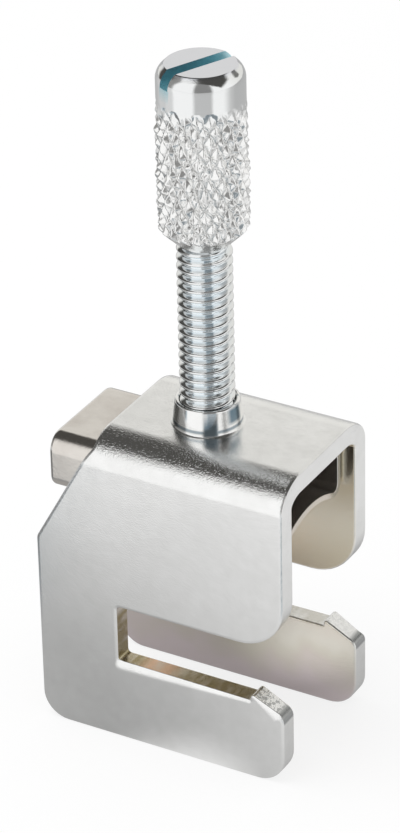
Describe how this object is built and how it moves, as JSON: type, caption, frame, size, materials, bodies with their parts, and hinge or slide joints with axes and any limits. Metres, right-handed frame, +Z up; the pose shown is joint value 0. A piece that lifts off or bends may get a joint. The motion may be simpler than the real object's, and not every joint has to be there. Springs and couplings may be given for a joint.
{
  "type": "shield connection clamp",
  "caption": "Folded steel shield clamp that hooks over a flat busbar, with a hollow arched pressure saddle for the cable and a slotted, knurled clamping screw.",
  "frame": {"origin": "centre of the bounding box at the level of the side plates' lower edges, on which the clamp stands", "axes": "+Z up along the clamping screw, +X out of the busbar slot's mouth and along the cable, +Y across the two side plates"},
  "size_m": [0.0198, 0.0126, 0.0516],
  "materials": {
    "frame_plating": "satin nickel plating",
    "saddle_plating": "satin nickel plating, slightly warm",
    "screw_plating": "bright zinc plating with a bluish passivation"
  },
  "bodies": {
    "clamp_frame": {"frame": "frame_plating"},
    "saddle": {"pressure_saddle": "saddle_plating"},
    "screw": {"clamping_screw": "screw_plating"}
  },
  "joints": [
    {"name": "saddle_slide", "type": "slide", "parent": "clamp_frame", "child": "saddle", "axis": [0, 0, -1], "range_m": [0, 0.0119]},
    {"name": "screw_turn", "type": "hinge", "parent": "saddle", "child": "screw", "pos_m": [0.00075, 0, 0.0223], "axis": [0, 0, -1], "range_deg": [0, 6125]}
  ],
  "couplings": [
    {"joint": "screw_turn", "follows": "saddle_slide", "rad_per_m": 8976}
  ]
}
